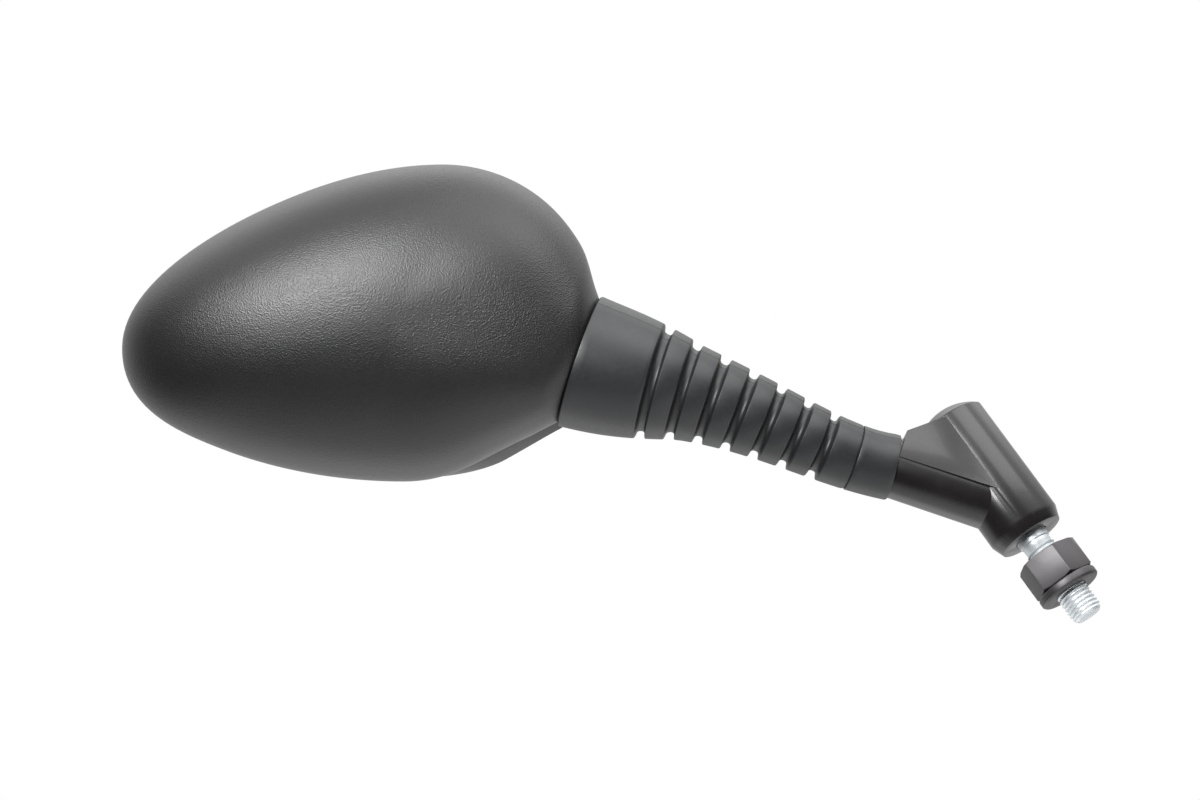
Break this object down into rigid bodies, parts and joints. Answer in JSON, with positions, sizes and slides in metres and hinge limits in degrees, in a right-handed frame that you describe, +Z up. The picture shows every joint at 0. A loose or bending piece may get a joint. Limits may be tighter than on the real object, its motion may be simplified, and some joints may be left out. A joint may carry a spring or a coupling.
{
  "type": "motorcycle mirror",
  "caption": "Right-hand motorcycle mirror: egg-shaped head on a ball joint, ribbed rubber boot over the arm, black elbow that swivels on a threaded stud, lock nut",
  "frame": {"origin": "On the stud's axis, at the face that the lock nut's washer clamps down on.", "axes": "+Z runs up along the stud. +Y points back to the rider, whom the glass faces. The head lies towards -X."},
  "size_m": [0.2128, 0.0908, 0.2395],
  "materials": {
    "zinc_steel": "bright zinc plate",
    "spring_steel": "oiled spring steel",
    "black_steel": "satin black coating",
    "black_paint": "gloss black paint on a casting",
    "nylon": "natural nylon",
    "boot_rubber": "matt moulded rubber",
    "black_plastic": "plain moulded plastic",
    "grained_plastic": "fine leather-like mould grain",
    "mirror_glass": "convex silvered glass",
    "foam_rubber": "double-sided foam tape",
    "bare_casting": "bare die casting"
  },
  "bodies": {
    "stud": {"mount_stud": "zinc_steel", "thrust_washer": "zinc_steel", "pivot_springs": "spring_steel", "pivot_nut": "zinc_steel"},
    "washer": {"nut_washer": "black_steel"},
    "nut": {"lock_nut": "black_steel"},
    "arm": {"arm_casting": "black_paint", "barrel_cap": "black_paint", "pivot_bushes": "nylon", "arm_rod": "zinc_steel", "rod_pin": "spring_steel", "rubber_boot": "boot_rubber"},
    "inner_seat": {"ball_liner": "nylon"},
    "outer_seat": {"ball_cup": "black_plastic"},
    "head": {"head_shell": "grained_plastic", "mirror_glass": "mirror_glass", "adhesive_pad": "foam_rubber", "glass_backing": "black_plastic", "socket_bracket": "bare_casting", "clamp_plate": "zinc_steel", "clamp_screws": "zinc_steel", "clamp_springs": "spring_steel", "bracket_screws": "zinc_steel"}
  },
  "joints": [
    {"name": "washer_travel", "type": "slide", "parent": "stud", "child": "washer", "axis": [0, 0, 1], "range_m": [-0.0074, 0.0031]},
    {"name": "nut_turn", "type": "hinge", "parent": "washer", "child": "nut", "pos_m": [0, 0, 0], "axis": [0, 0, 1], "range_deg": [-2132.2, 893.8]},
    {"name": "arm_swivel", "type": "hinge", "parent": "stud", "child": "arm", "pos_m": [0, 0, 0], "axis": [0, 0, 1], "continuous": true},
    {"name": "head_roll", "type": "hinge", "parent": "arm", "child": "inner_seat", "pos_m": [-0.09874, -0.04232, 0.15279], "axis": [-0.6102, -0.2615, 0.7478], "range_deg": [-20, 20]},
    {"name": "head_tilt", "type": "hinge", "parent": "inner_seat", "child": "outer_seat", "pos_m": [-0.09874, -0.04232, 0.15279], "axis": [-0.7919, 0.2288, -0.5662], "range_deg": [-7, 7]},
    {"name": "head_spin", "type": "hinge", "parent": "outer_seat", "child": "head", "pos_m": [-0.09874, -0.04232, 0.15279], "axis": [-0.023, -0.9377, -0.3467], "range_deg": [-7, 7]}
  ],
  "couplings": [
    {"joint": "nut_turn", "follows": "washer_travel", "rad_per_m": 5026.5}
  ]
}
